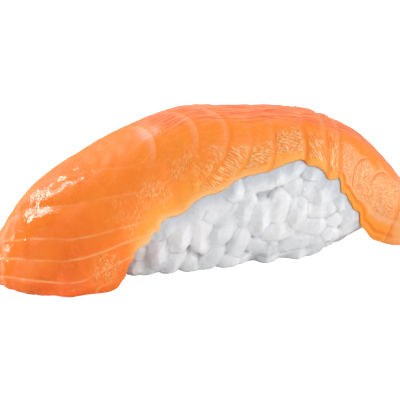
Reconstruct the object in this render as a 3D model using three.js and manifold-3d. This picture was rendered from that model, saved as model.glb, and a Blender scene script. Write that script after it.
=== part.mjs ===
// Salmon nigiri: a hand-pressed block of rice under one slice of raw salmon.
// Millimetres, +Z up. The origin is on the table, under the middle of the whole piece.
// The slice's long way runs along X. Its broad flank, which falls furthest, faces -Y.
import * as THREE from "three";
import { mergeVertices } from "three/addons/utils/BufferGeometryUtils.js";
import Module from "manifold-3d";

// ---- Driving dimensions -------------------------------------------------------------

const SLICE_LENGTH = 105; // of the slice's top face along its middle line, if laid flat
const CREST_X = -6; // the highest point of the middle line, before the whole piece is centred
const CREST_Z = 27.2;
const SLICE_THICKNESS = 5.6; // in the middle of the slice
const RIM_THICKNESS = 1.6; // where the slanting cut runs out at the sides
const TIP_THICKNESS = 2.4; // in the middle of each end
const TURN_LIMIT = 86; // degrees that a flank bends before it hangs straight
const SECTION_LEAN = 0.45; // share of the middle line's slope by which a cross section leans

const RICE_SIZE = new THREE.Vector3(48.5, 21, 26); // of the block before the slice presses into its top
const RICE_MIDDLE = new THREE.Vector3(-1.5, 0.3, 9.5);
const RICE_TURN = 4; // degrees by which the block lies askew under the slice
const RICE_SQUARENESS = 4; // 2 would be an egg, and a large number a brick
const GRAIN_BUMP = 0.6; // how far the grains stand out of the block's mean surface
const GRAIN_SPACING = 5;
const PRESS_GAP = 0.3; // between the rice and the underside of the slice

// What changes along the slice, as [share of its length, value]. A smooth curve joins them.
const SLOPE = [[0, 52], [0.04, 57], [0.1, 54], [0.2, 36], [0.3, 26], [0.4, 15], [0.5, -4], [0.6, -8],
  [0.68, -18], [0.77, -41], [0.87, -53], [0.94, -49], [1, -36]]; // degrees that the middle line climbs
const NEAR_WIDTH = [[0, 10], [0.04, 15.2], [0.08, 19], [0.16, 24.5], [0.25, 29.3], [0.3, 25.6], [0.36, 21.5],
  [0.46, 18.5], [0.56, 14.5], [0.65, 12.2], [0.7, 13.6], [0.79, 17.3], [0.86, 16.2], [0.92, 10.6], [1, 5.5]];
const FAR_WIDTH = [[0, 7], [0.16, 11], [0.3, 14], [0.45, 16.5], [0.6, 18.5], [0.72, 19.5], [0.8, 18.5],
  [0.86, 16], [0.92, 11], [1, 6]];
const NEAR_BEND = [[0, 32], [0.07, 25], [0.15, 17.3], [0.26, 15.8], [0.4, 11.2], [0.65, 11], [0.85, 8],
  [1, 10]]; // radius over the shoulder
const FAR_BEND = [[0, 14], [0.3, 12], [1, 11]];
const MIDDLE_Y = [[0, -1], [0.2, 0], [0.5, 0.5], [0.8, 2], [1, 3]];
const TIP_TAPER = 0.2; // share of the length over which each end thins out
const TIP_ROUNDING = 0.08; // share of the length over which each end is rounded in plan

const SECTIONS = 60;
const TOP_POINTS = 23; // across the top face of a section
const UNDER_POINTS = 15;
const END_CROWDING = 0.55; // 0 spaces the sections evenly, 1 crowds them fully towards the ends
const FIRST_STEP = 0.35; // the end sections stand this share of a step inside the tips
const LINE_STEPS = 420; // of the middle line
const RICE_FACET = 1.6;

// ---- Curves through the driving dimensions ------------------------------------------

// A curve through [place, value] pairs that doesn't swing past them: a cubic whose tangents are limited.
function curveThrough(pairs) {
  const steps = pairs.slice(1).map(([place, value], i) => (value - pairs[i][1]) / (place - pairs[i][0]));
  const tangents = pairs.map((_, i) => {
    const before = steps[Math.max(i - 1, 0)];
    const after = steps[Math.min(i, steps.length - 1)];
    return before * after <= 0 ? 0 : (2 * before * after) / (before + after);
  });
  return (place) => {
    const found = pairs.findIndex(([end]) => end >= place);
    const i = THREE.MathUtils.clamp(found - 1, 0, steps.length - 1);
    const span = pairs[i + 1][0] - pairs[i][0];
    const u = (place - pairs[i][0]) / span;
    const startPart = (1 + 2 * u) * (1 - u) ** 2 * pairs[i][1] + u * (1 - u) ** 2 * span * tangents[i];
    const endPart = u * u * (3 - 2 * u) * pairs[i + 1][1] + u * u * (u - 1) * span * tangents[i + 1];
    return startPart + endPart;
  };
}

const slope = curveThrough(SLOPE);
const nearWidth = curveThrough(NEAR_WIDTH);
const farWidth = curveThrough(FAR_WIDTH);
const nearBend = curveThrough(NEAR_BEND);
const farBend = curveThrough(FAR_BEND);
const middleY = curveThrough(MIDDLE_Y);

// Both ends of the slice are rounded off in plan, as a quarter circle of the half width.
function endRounding(share) {
  const fromTip = Math.min(share, 1 - share);
  const left = 1 - Math.min(fromTip / TIP_ROUNDING, 1);
  return Math.sqrt(1 - left * left);
}

// The middle line in X and Z, stepped along its slope and then put with its highest point at the crest.
function middleLine(steps) {
  const length = SLICE_LENGTH / steps;
  const line = [new THREE.Vector2(0, 0)];
  for (let i = 0; i < steps; i++) {
    const angle = THREE.MathUtils.degToRad(slope((i + 0.5) / steps));
    line.push(new THREE.Vector2(Math.cos(angle), Math.sin(angle)).multiplyScalar(length).add(line[i]));
  }
  const crest = line.reduce((highest, point) => (point.y > highest.y ? point : highest)).clone();
  return line.map((point) => point.clone().sub(crest).add(new THREE.Vector2(CREST_X, CREST_Z)));
}

const line = middleLine(LINE_STEPS);

function middlePoint(share) {
  const place = Math.min(share * LINE_STEPS, LINE_STEPS - 1e-6);
  const i = Math.floor(place);
  return line[i].clone().lerp(line[i + 1], place - i);
}

// ---- The slice of salmon ------------------------------------------------------------

// A point of the slice's top face, and its outward normal. side is -1 on the near flank and 1 on the far one.
// across is the distance from the middle line, measured over the face.
function drapedPoint(share, side, across) {
  const middle = middlePoint(share);
  const lean = THREE.MathUtils.degToRad(slope(share)) * SECTION_LEAN;
  const up = new THREE.Vector3(-Math.sin(lean), 0, Math.cos(lean));
  const bend = side < 0 ? nearBend(share) : farBend(share);
  const turn = Math.min(across / bend, THREE.MathUtils.degToRad(TURN_LIMIT));
  const hang = across - turn * bend;
  const out = bend * Math.sin(turn) + hang * Math.cos(turn);
  const drop = bend * (1 - Math.cos(turn)) + hang * Math.sin(turn);
  const point = new THREE.Vector3(middle.x, middleY(share) + side * out, middle.y).addScaledVector(up, -drop);
  const normal = up.clone().multiplyScalar(Math.cos(turn));
  normal.y = side * Math.sin(turn);
  return { point, normal };
}

// The slice is thickest along the middle and runs out towards its sides and its ends.
function thicknessAt(share, sideways) {
  const fromTip = Math.min(share, 1 - share);
  const swell = THREE.MathUtils.smoothstep(fromTip, 0, TIP_TAPER);
  const middle = THREE.MathUtils.lerp(TIP_THICKNESS, SLICE_THICKNESS, swell);
  return THREE.MathUtils.lerp(middle, RIM_THICKNESS, sideways ** 4);
}

// One closed loop round the slice at a share of its length. grow makes it larger all round, above by riseBy.
function sliceSection(share, grow, riseBy) {
  const rounding = endRounding(share);
  const widths = { near: nearWidth(share) * rounding + grow, far: farWidth(share) * rounding + grow };
  const pointAt = (sideways, under) => {
    const side = sideways < 0 ? -1 : 1;
    const across = Math.abs(sideways) * (side < 0 ? widths.near : widths.far);
    const { point, normal } = drapedPoint(share, side, across);
    const thickness = thicknessAt(share, sideways);
    point.addScaledVector(normal, under ? -thickness - grow : riseBy);
    point.z = Math.max(point.z, under ? -grow : RIM_THICKNESS);
    return point;
  };
  const sweep = (count) => Array.from({ length: count }, (_, i) => (2 * i) / (count - 1) - 1);
  const top = sweep(TOP_POINTS).map((sideways) => pointAt(sideways, false));
  const under = sweep(UNDER_POINTS).map((sideways) => pointAt(-sideways, true));
  return [...top, ...under];
}

// A closed skin over a row of closed loops, with a fan over each end.
function skinOver(loops) {
  const count = loops[0].length;
  const centreOf = (loop) => loop.reduce((sum, p) => sum.add(p), new THREE.Vector3()).divideScalar(count);
  const points = [...loops.flat(), centreOf(loops[0]), centreOf(loops.at(-1))];
  const faces = [];
  for (let ring = 0; ring + 1 < loops.length; ring++) {
    for (let i = 0; i < count; i++) {
      const next = (i + 1) % count;
      const [a, b] = [ring * count + i, ring * count + next];
      faces.push(a, a + count, b, b, a + count, b + count);
    }
  }
  const lastRing = (loops.length - 1) * count;
  const firstCentre = loops.length * count;
  for (let i = 0; i < count; i++) {
    const next = (i + 1) % count;
    faces.push(firstCentre, i, next, firstCentre + 1, lastRing + next, lastRing + i);
  }
  return new THREE.BufferGeometry().setFromPoints(points).setIndex(faces);
}

// The sections stand closer together near the ends, where the outline turns fastest.
function sliceGeometry(grow = 0, riseBy = 0) {
  const shares = Array.from({ length: SECTIONS }, (_, i) => {
    const even = (i + FIRST_STEP) / (SECTIONS - 1 + 2 * FIRST_STEP);
    const crowded = (1 - Math.cos(Math.PI * even)) / 2;
    return THREE.MathUtils.lerp(even, crowded, END_CROWDING);
  });
  return skinOver(shares.map((share) => sliceSection(share, grow, riseBy)));
}

// ---- The block of rice --------------------------------------------------------------

const WAVES_PEAK = 1.6; // about the largest sum that the three crossing waves reach

// How far the grains stand out at a place: three crossing waves, none of them in step with another.
function grainBump(place) {
  const wave = (2 * Math.PI) / GRAIN_SPACING;
  const first = Math.sin(wave * (place.x + 0.3 * place.z) + 1.3);
  const second = Math.sin(wave * (0.8 * place.z - 0.45 * place.x + 0.4 * place.y) + 0.4);
  const third = Math.sin(wave * (0.9 * place.y + 0.35 * place.x - 0.25 * place.z) + 2.1);
  return (GRAIN_BUMP * (first * second + second * third + third * first)) / WAVES_PEAK;
}

const UPWARD = new THREE.Vector3(0, 0, 1);

// A pillow with a flat base: a box swollen to round its edges, with the bumps of the grains all over.
function riceGeometry() {
  const facets = RICE_SIZE.clone().divideScalar(RICE_FACET).round();
  const block = new THREE.BoxGeometry(2, 2, 2, facets.x, facets.y, facets.z);
  const places = block.getAttribute("position");
  const half = RICE_SIZE.clone().multiplyScalar(0.5);
  const point = new THREE.Vector3();
  for (let i = 0; i < places.count; i++) {
    point.fromBufferAttribute(places, i);
    const reach = point.toArray().reduce((sum, value) => sum + Math.abs(value) ** RICE_SQUARENESS, 0);
    point.multiplyScalar(reach ** (-1 / RICE_SQUARENESS));
    const outward = point.clone().divide(half).normalize();
    point.multiply(half);
    point.addScaledVector(outward, grainBump(point));
    point.applyAxisAngle(UPWARD, THREE.MathUtils.degToRad(RICE_TURN));
    point.add(RICE_MIDDLE);
    places.setXYZ(i, point.x, point.y, Math.max(point.z, 0));
  }
  return block;
}

// ---- Solids -------------------------------------------------------------------------

const wasm = await Module();
wasm.setup();

function solidFrom(geometry) {
  geometry.deleteAttribute("normal");
  geometry.deleteAttribute("uv");
  const merged = mergeVertices(geometry, 1e-4);
  const vertProperties = merged.getAttribute("position").array;
  const triVerts = new Uint32Array(merged.index.array);
  return new wasm.Manifold(new wasm.Mesh({ numProp: 3, vertProperties, triVerts }));
}

function geometryFrom(solid) {
  const { vertProperties, triVerts } = solid.getMesh();
  const geometry = new THREE.BufferGeometry();
  geometry.setAttribute("position", new THREE.BufferAttribute(vertProperties, 3));
  geometry.setIndex(new THREE.BufferAttribute(triVerts, 1));
  geometry.computeVertexNormals();
  return geometry;
}

const CUT_RISE = 4; // the cutting copy of the slice reaches this far up, so that no rice is left above it
const pressedRice = solidFrom(riceGeometry()).subtract(solidFrom(sliceGeometry(PRESS_GAP, CUT_RISE)));

const salmonFinish = new THREE.MeshStandardMaterial({ color: 0xf97f35, roughness: 0.32, metalness: 0 });
const riceFinish = new THREE.MeshStandardMaterial({ color: 0xdfe1e2, roughness: 0.5, metalness: 0 });

const salmonSlice = new THREE.Mesh(geometryFrom(solidFrom(sliceGeometry())), salmonFinish);
salmonSlice.name = "salmon_slice";
const riceBlock = new THREE.Mesh(geometryFrom(pressedRice), riceFinish);
riceBlock.name = "rice_block";

const nigiri = new THREE.Group();
nigiri.add(salmonSlice, riceBlock);
const middle = new THREE.Box3().setFromObject(nigiri).getCenter(new THREE.Vector3());
nigiri.position.set(-middle.x, -middle.y, 0);

export default nigiri;
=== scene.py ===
"""The looks of a salmon nigiri: one slice of raw salmon laid over a hand-pressed block of sushi rice.

Metres, +Z up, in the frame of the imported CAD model. The slice's broad flank and the open face of the rice
look towards -Y.
"""

import math

import bpy
import numpy as np
from mathutils import Matrix, Vector
from mathutils.bvhtree import BVHTree
from mathutils.kdtree import KDTree


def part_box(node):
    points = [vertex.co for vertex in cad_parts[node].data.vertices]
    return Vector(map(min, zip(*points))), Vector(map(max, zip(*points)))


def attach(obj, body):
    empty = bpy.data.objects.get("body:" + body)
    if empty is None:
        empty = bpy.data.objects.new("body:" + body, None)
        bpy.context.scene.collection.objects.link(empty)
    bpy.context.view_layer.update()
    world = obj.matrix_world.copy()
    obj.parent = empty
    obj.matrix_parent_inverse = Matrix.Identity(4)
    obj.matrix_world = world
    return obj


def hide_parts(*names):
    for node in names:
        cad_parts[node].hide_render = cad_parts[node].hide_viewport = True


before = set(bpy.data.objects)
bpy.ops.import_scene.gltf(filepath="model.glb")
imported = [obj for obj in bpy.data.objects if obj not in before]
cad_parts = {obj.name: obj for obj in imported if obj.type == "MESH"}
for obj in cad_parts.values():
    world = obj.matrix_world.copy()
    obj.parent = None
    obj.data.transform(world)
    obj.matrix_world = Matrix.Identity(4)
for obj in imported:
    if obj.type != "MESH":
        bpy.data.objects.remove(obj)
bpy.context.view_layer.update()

# ---- The slice of salmon ------------------------------------------------------------
# One slice of raw salmon, cut on the slant from the fillet, so that it is thick along its middle and thin
# at its sides and ends. It is made flat, as a grid with a second skin extruded from it, and is then draped
# over the rice, which it follows by its own weight. Only the sticky rice holds it.

MM = 0.001
SLICE_LENGTH = 105 * MM  # of the top face along its middle line, if laid flat
SLICE_THICKNESS = 5.6 * MM
TIP_THICKNESS = 2.6 * MM
RIM_THICKNESS = 1.9 * MM
THINNING_REACH = 9 * MM  # from the rim in to the full thickness
RIM_ROUNDING = 1.3 * MM
RIM_WALL = 0.16 * MM  # the blunt edge between the top and the underside
TIP_TAPER = 0.2  # share of the length over which each end thins out
TIP_ROUNDING = 0.065  # share of the length over which each end is rounded in plan
CREST_PLACE = (-3.18 * MM, 2.31 * MM)  # of the middle line's highest point, in X and Y
TURN_LIMIT = math.radians(86)  # that a flank bends before it hangs straight
SECTION_LEAN = 0.45  # share of the middle line's slope by which a cross section leans
ROWS, COLUMNS = 396, 118
ROW_CROWDING, COLUMN_CROWDING, END_COLUMN_CROWDING = 0.55, 0.5, 0.9

# What changes along the slice, as [share of its length, value]: degrees of climb, then millimetres.
SLOPE = [[0, 52], [0.04, 57], [0.1, 54], [0.2, 36], [0.3, 26], [0.4, 15], [0.5, -4], [0.6, -8],
         [0.68, -18], [0.77, -41], [0.87, -53], [0.94, -49], [1, -36]]
NEAR_WIDTH = [[0, 13], [0.04, 15.5], [0.062, 17], [0.08, 19.1], [0.16, 25.1], [0.225, 28.3],
              [0.25, 27.8], [0.266, 26.6], [0.282, 25.1], [0.302, 24.2], [0.332, 22.8], [0.35, 21.7],
              [0.4, 20.7], [0.44, 19.6], [0.48, 18.4], [0.52, 16.4], [0.56, 14.8], [0.6, 13.3],
              [0.628, 12.4], [0.65, 13.3], [0.71, 14.3], [0.75, 16.3], [0.8, 17.5], [0.84, 17.4],
              [0.876, 15.9], [0.902, 14.2], [0.95, 9.6], [1, 5.5]]
FAR_WIDTH = [[0, 7], [0.16, 11], [0.3, 14], [0.45, 16.5], [0.6, 18.5], [0.72, 19.5], [0.8, 18.5],
             [0.86, 16], [0.92, 11], [1, 6]]
NEAR_BEND = [[0, 32], [0.07, 25], [0.15, 17.3], [0.26, 15.8], [0.4, 11.2], [0.65, 11], [0.85, 8], [1, 10]]
FAR_BEND = [[0, 14], [0.3, 12], [1, 11]]
MIDDLE_Y = [[0, -1], [0.2, 0], [0.5, 0.5], [0.8, 2], [1, 3]]
TORN_RIM = [[0, 0], [0.235, 0], [0.247, -0.1], [0.256, 0.05], [0.264, -0.5], [0.272, -0.5],
            [0.278, 0.1], [0.282, 0.1], [0.286, -0.5], [0.3, -0.4], [0.312, -0.15], [0.32, 0.05],
            [0.328, -0.3], [0.333, -0.3], [0.341, 0.5], [0.345, 0.6], [0.352, -0.2], [0.362, -0.3],
            [0.376, -0.25], [0.39, 0], [0.6, 0], [0.633, 0], [0.641, 0.3], [0.66, -0.2], [0.672, 0],
            [0.684, 1.1], [0.697, 0.7], [0.709, -0.2], [0.717, 0.6], [0.723, 1.4], [0.73, 0.6],
            [0.74, 0], [0.765, 0.1], [0.787, -0.7], [0.8, 0.3], [0.815, 0], [1, 0]]  # past the near width
TOP_DIP = [[0, 0], [0.1, -0.3], [0.2, 0.1], [0.3, 0.35], [0.4, 0.1], [0.62, 0], [0.665, -0.3],
           [0.72, 0.7], [0.8, 0.3], [0.88, 0.3], [1, 0.2]]  # how far the top face sinks here and there


def curve_through(pairs, unit=1.0):
    """A smooth curve through [place, value] pairs that doesn't swing past them."""
    places, values = np.array(pairs, float).T
    steps = np.diff(values) / np.diff(places)
    before, after = np.append(steps[0], steps), np.append(steps, steps[-1])
    same_way = before * after > 0
    tangents = np.where(same_way, 2 * before * after / np.where(same_way, before + after, 1), 0)

    def value_at(place):
        i = np.clip(np.searchsorted(places, place) - 1, 0, len(steps) - 1)
        span = places[i + 1] - places[i]
        u = (place - places[i]) / span
        start = (1 + 2 * u) * (1 - u) ** 2 * values[i] + u * (1 - u) ** 2 * span * tangents[i]
        end = u * u * (3 - 2 * u) * values[i + 1] + u * u * (u - 1) * span * tangents[i + 1]
        return (start + end) * unit

    return value_at


slope = curve_through(SLOPE, math.radians(1))
near_width, far_width = curve_through(NEAR_WIDTH, MM), curve_through(FAR_WIDTH, MM)
near_bend, far_bend = curve_through(NEAR_BEND, MM), curve_through(FAR_BEND, MM)
middle_y = curve_through(MIDDLE_Y, MM)
torn_rim, top_dip = curve_through(TORN_RIM, MM), curve_through(TOP_DIP, MM)


def smooth_step(value, low, high):
    share = np.clip((value - low) / (high - low), 0, 1)
    return share * share * (3 - 2 * share)


def blend(first, second, share):
    return first + (second - first) * share


def waves(places, length, seed, count=7):
    """Gentle unevenness between about -1 and 1: plane waves of that length, in seeded directions."""
    draw = np.random.default_rng(seed)
    ways = draw.normal(size=(count, places.shape[1]))
    ways *= draw.uniform(0.7, 1.3, (count, 1)) / np.linalg.norm(ways, axis=1, keepdims=True)
    starts = draw.uniform(0, 2 * math.pi, count)
    return np.sin(places @ ways.T * (2 * math.pi / length) + starts).sum(1) / math.sqrt(count)


# The middle line in X and Z, stepped along its slope, with its highest point at the crest.
LINE_STEPS = 420
crest_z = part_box("salmon_slice")[1].z
line_share = np.linspace(0, 1, LINE_STEPS + 1)
line_slope = slope((line_share[1:] + line_share[:-1]) / 2)
line_step = SLICE_LENGTH / LINE_STEPS
line_x = np.append(0, np.cumsum(np.cos(line_slope))) * line_step
line_z = np.append(0, np.cumsum(np.sin(line_slope))) * line_step
highest = line_z.argmax()
line_x += CREST_PLACE[0] - line_x[highest]
line_z += crest_z - line_z[highest]


def drape(along, across):
    """Points of the draped top face, and its outward normals. across is under 0 on the near flank."""
    share = np.clip(along / SLICE_LENGTH, 0, 1)
    lean = slope(share) * SECTION_LEAN
    up = np.stack([-np.sin(lean), np.zeros_like(lean), np.cos(lean)], 1)
    side = np.where(across < 0, -1.0, 1.0)
    bend = np.where(across < 0, near_bend(share), far_bend(share))
    turn = np.minimum(np.abs(across) / bend, TURN_LIMIT)
    hang = np.abs(across) - turn * bend
    out = bend * np.sin(turn) + hang * np.cos(turn)
    drop = bend * (1 - np.cos(turn)) + hang * np.sin(turn)
    x, z = np.interp(share, line_share, line_x), np.interp(share, line_share, line_z)
    points = np.stack([x, CREST_PLACE[1] + middle_y(share) + side * out, z], 1) - up * drop[:, None]
    normals = up * np.cos(turn)[:, None]
    normals[:, 1] = side * np.sin(turn)
    return points, normals


# The flat slice: a grid over -1 to 1, with a second skin extruded from it. Both skins share their rim.
bpy.ops.object.select_all(action="DESELECT")
bpy.ops.mesh.primitive_grid_add(x_subdivisions=ROWS, y_subdivisions=COLUMNS, size=2)
salmon = bpy.context.object
salmon.name = salmon.data.name = "salmon_fish"
bpy.ops.object.mode_set(mode="EDIT")
bpy.ops.mesh.select_all(action="SELECT")
bpy.ops.mesh.extrude_region_move(TRANSFORM_OT_translate={"value": (0, 0, 1)})  # this skin is the top
bpy.ops.mesh.select_all(action="SELECT")
bpy.ops.mesh.normals_make_consistent(inside=False)
bpy.ops.object.mode_set(mode="OBJECT")

grid = np.empty(len(salmon.data.vertices) * 3)
salmon.data.vertices.foreach_get("co", grid)
grid = grid.reshape(-1, 3)
is_top = grid[:, 2] > 0.5

# Rows run across the slice and crowd towards its ends. The first and last rows lie on the round ends.
row = (grid[:, 0] + 1) / 2
row = blend(row, (1 - np.cos(math.pi * row)) / 2, ROW_CROWDING)
from_end = np.minimum(row, 1 - row)
END_PULL_REACH = 0.22  # share of the length over which the rows bend to an end's curve
end_pull = 1 - smooth_step(from_end, 0, END_PULL_REACH)
crowding = blend(COLUMN_CROWDING, END_COLUMN_CROWDING, end_pull)
sideways = blend(grid[:, 1], np.sin(math.pi / 2 * grid[:, 1]), crowding)
end_arc = TIP_ROUNDING * SLICE_LENGTH * (1 - np.sqrt(np.clip(1 - sideways**2, 0, 1)))
along = row * SLICE_LENGTH + np.where(row < 0.5, 1, -1) * end_pull * end_arc
share = along / SLICE_LENGTH
width = np.where(sideways < 0, near_width(share) + torn_rim(share), far_width(share))
across = sideways * width

# The knife and the fingers leave the rim slightly uneven. It is calmer where it rests on the table.
RIM_WAVER, WAVER_LENGTH = 0.22 * MM, 9 * MM
RIM_NICKS, NICK_LENGTH = 0.1 * MM, 2.6 * MM
RIM_ONLY = 6  # the power that keeps the unevenness close to the rim
RESTING_SHARE, RISING = 0.35, (0.2, 0.26)  # what is left of it there, and where the rim leaves the table
END_WAVER_REACH = 0.03
rim_share = np.abs(sideways) ** RIM_ONLY
rim_calm = blend(RESTING_SHARE, 1, smooth_step(share, *RISING))
flat = np.stack([along, across], 1)
waver = RIM_WAVER * waves(flat, WAVER_LENGTH, 11) + RIM_NICKS * waves(flat, NICK_LENGTH, 12)
across = across + np.sign(sideways) * rim_share * rim_calm * waver
end_share = (1 - smooth_step(from_end, 0, END_WAVER_REACH)) * (1 - rim_share)
along = along + np.where(row < 0.5, -1, 1) * end_share * waver

# How far in from the rim each place lies, measured over the flat slice.
flat = np.stack([along, across], 1)
on_rim = (np.abs(np.abs(grid[:, :2]) - 1) < 1e-6).any(1) & is_top
rim_places = KDTree(int(on_rim.sum()))
for i, place in enumerate(flat[on_rim]):
    rim_places.insert((*place, 0), i)
rim_places.balance()
from_rim = np.array([rim_places.find((*place, 0))[2] for place in flat])

# The fat lines are the whole-numbered levels of one field. On the broad left flank they run lengthwise,
# and to the right they cross the slice, so that they nest round a corner. All is in millimetres: pairs are
# [along, across], [along, spacing] and, for the crossings on the near shoulder, [along, which line].
FAT_LINE = [[-5, 9], [0, 4], [4.5, -2.2], [9, -7.8], [14.7, -12.7], [20, -16.2], [26.5, -18.6],
            [34.8, -19.9], [42.7, -19.6], [60, -22]]
FAT_LINE_NUMBER, FAT_LINE_END = 2, 60
OUTER_SPACING = [[0, 5.2], [14.7, 4.2], [24, 3.1], [30, 2.7], [60, 2.4]]
INNER_SPACING = [[0, 8], [14, 7.2], [21.7, 6.5], [28.5, 5.9], [36, 4.9], [60, 4.5]]
SIDE_SHARPNESS = 1.5  # how far the spacing takes to change from the inner to the outer one
CROSSINGS = [[-20, -6], [10, -4.2], [25, -2.4], [33, -1], [38.9, 0], [47, 1], [52.8, 2], [57, 3],
             [61.2, 4], [66.9, 5], [71.4, 6], [74.4, 7], [79.5, 8], [85, 9], [91.6, 10], [97, 11],
             [103, 12], [110, 13]]
TILT = [[0, 0.3], [40, 0.16], [47, 0.12], [53, 0.02], [57, 0.05], [61, 0.03], [66, 0], [85, 0],
        [91.6, 0.04], [105, 0.1]]  # of the crossing lines, as millimetres along for each one across
BOW = [[34, 0.05], [40, 0.06], [47, 0.07], [53, 0.06], [57, 0.04], [61, 0.02], [66, 0], [105, 0]]
SHOULDER, TILT_REACH = -8, 9  # where the crossings are given, and how far to each side they tilt and bow
CORNER_SHARPNESS = 3.2
fat_line, crossings = curve_through(FAT_LINE), curve_through(CROSSINGS)
tilt, bow = curve_through(TILT), curve_through(BOW)
outer_spacing, inner_spacing = curve_through(OUTER_SPACING), curve_through(INNER_SPACING)


def crosswise_level(along, across):
    from_shoulder = np.clip(across - SHOULDER, -TILT_REACH, TILT_REACH)
    return crossings(along - tilt(along) * from_shoulder + bow(along) * from_shoulder**2)


def flake_level(along, across):
    """Which fat lines a place lies between: a whole number on each line. Places are in millimetres."""
    before_corner = np.clip(along, 0, FAT_LINE_END)
    below = fat_line(before_corner) - across
    outer = 0.5 + 0.5 * np.tanh(below / SIDE_SHARPNESS)
    spacing = blend(1 / inner_spacing(before_corner), 1 / outer_spacing(before_corner), outer)
    lengthwise = FAT_LINE_NUMBER + below * spacing
    crosswise = crosswise_level(along, across)
    return np.logaddexp(CORNER_SHARPNESS * lengthwise, CORNER_SHARPNESS * crosswise) / CORNER_SHARPNESS


flat_mm = flat / MM
LEVEL_WAVER, LEVEL_WAVER_LENGTH = 0.02, 7


def wavering_level(places):
    return flake_level(places[:, 0], places[:, 1]) + LEVEL_WAVER * waves(places, LEVEL_WAVER_LENGTH, 21)


PROBE, LEAST_CLIMB = 0.05, 0.05  # millimetres to a second look, and levels for each millimetre
level = wavering_level(flat_mm)
climb_along = (wavering_level(flat_mm + [PROBE, 0]) - level) / PROBE
climb_across = (wavering_level(flat_mm + [0, PROBE]) - level) / PROBE
line_gap = 1 / np.maximum(np.hypot(climb_along, climb_across), LEAST_CLIMB)  # from line to line
from_line = np.abs(level - np.round(level)) * line_gap

# Relief of the top face: each flake swells between its two grooves and stands a little higher or lower.
# Widths are in millimetres, and what is given for a stretch is in shares of the length.
GROOVE_DEPTH, GROOVE_WIDTH = 0.2 * MM, 0.42
CROSSWISE_GROOVES = {0: 0.1, 1: 0.2, 2: 0.5, 3: 0.25, 4: 0.5, 5: 1.0, 6: 1.0, 7: 0.9, 8: 0.0, 9: 0.0,
                     10: 0.8}  # how strong each one is
PLAIN_GROOVE = 0.2
FIRST_LINE, LINE_COUNT = -12, 40
CROSSED_FROM = (0.42, 0.5)  # the crossing lines are cut deeper than the lengthwise ones
SHOULDER_REACH = (3 * MM, 8 * MM)
TOP_GROOVE, TOP_SWELL, LEFT_STEP = 0.8, 0.4, 0.25  # what is left of them on the top and on the left
FLAKE_SWELL, SWELL_BLUNTNESS, FLAKE_STEP = 0.18 * MM, 2.6, 0.26 * MM
LUMP, LUMP_LENGTH = 0.05 * MM, 11
RIPPLE, RIPPLE_LENGTH = 0.04 * MM, 3.1
FOLD_DEPTH, FOLD_WIDTH, FOLD_LINE = 0.22 * MM, 1.2, 1  # the shallow valley between the two wet streaks
FOLD_START, FOLD_END = (0.06, 0.1), (0.2, 0.27)
CROWN, CROWN_ACROSS, CROWN_WIDTH = 0.9 * MM, -5.0, 6.5  # the long swelling, where the left limb is thickest
CROWN_END = (0.12, 0.3)
LIMB_START, LIMB_END = (0.68, 0.72), (0.86, 0.9)  # of the groove along the right limb's rim
RIM_GROOVE, RIM_GROOVE_WIDTH, RIM_GROOVE_DEPTH = 1.3 * MM, 0.35 * MM, 0.2 * MM


def bell(distance, width):
    """A smooth bump of height 1 where the distance is 0."""
    return np.exp(-((distance / width) ** 2))


flake_height = np.random.default_rng(31).uniform(-1, 1, LINE_COUNT)
all_lines = range(FIRST_LINE, FIRST_LINE + LINE_COUNT)
groove_table = np.array([CROSSWISE_GROOVES.get(line, PLAIN_GROOVE) for line in all_lines])
whole = np.floor(level).astype(int)
flake = whole - FIRST_LINE
nearest_flake = np.round(level).astype(int) - FIRST_LINE
flake_share = smooth_step(level - whole, 0.0, 1.0)
crossed = smooth_step(share, *CROSSED_FROM)
on_shoulder = smooth_step(-across, *SHOULDER_REACH)
groove_strength = blend(PLAIN_GROOVE, groove_table[nearest_flake], crossed)
of_both_sides = blend(groove_table[flake], groove_table[flake + 1], flake_share)
swell_strength = blend(PLAIN_GROOVE, of_both_sides, crossed)
swell = 1 - np.abs(2 * (level - whole) - 1) ** SWELL_BLUNTNESS
step = blend(flake_height[flake], flake_height[flake + 1], flake_share)
groove = bell(from_line, GROOVE_WIDTH)
relief = -GROOVE_DEPTH * groove_strength * blend(TOP_GROOVE, 1.0, on_shoulder) * groove
swelling = FLAKE_SWELL * swell_strength * blend(TOP_SWELL, 1.0, on_shoulder) * swell
relief += swelling + FLAKE_STEP * step * blend(LEFT_STEP, 1.0, crossed)
relief += LUMP * waves(flat_mm, LUMP_LENGTH, 32) + RIPPLE * waves(flat_mm, RIPPLE_LENGTH, 33)
fold = bell((level - FOLD_LINE) * line_gap, FOLD_WIDTH) * smooth_step(share, *FOLD_START)
relief -= FOLD_DEPTH * fold * (1 - smooth_step(share, *FOLD_END))
crown = bell(flat_mm[:, 1] - CROWN_ACROSS, CROWN_WIDTH)
relief += CROWN * crown * (1 - smooth_step(share, *CROWN_END))
relief -= top_dip(share)
limb_rim = smooth_step(share, *LIMB_START) * (1 - smooth_step(share, *LIMB_END)) * (across < 0)
relief -= RIM_GROOVE_DEPTH * limb_rim * bell(from_rim - RIM_GROOVE, RIM_GROOVE_WIDTH)

# Thickness, the rounding of the rim, and the drape itself.
RIM_CURL = 0.25  # share of its thickness by which the rim lies below the top face
tip_share = smooth_step(np.minimum(share, 1 - share), 0, TIP_TAPER)
middle_thickness = blend(TIP_THICKNESS, SLICE_THICKNESS, tip_share)
inward = smooth_step(from_rim - RIM_ROUNDING, 0, THINNING_REACH)
thickness = blend(RIM_THICKNESS, middle_thickness, inward)
roundness = 1 - np.sqrt(1 - (1 - np.minimum(from_rim / RIM_ROUNDING, 1)) ** 2)
rim_depth = RIM_CURL * RIM_THICKNESS
top_offset = -(rim_depth - RIM_WALL / 2) * roundness + relief * (1 - roundness) ** 2
under_offset = -thickness + (thickness - rim_depth - RIM_WALL / 2) * roundness
points, normals = drape(along, across)
points += normals * np.where(is_top, top_offset, under_offset)[:, None]

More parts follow.
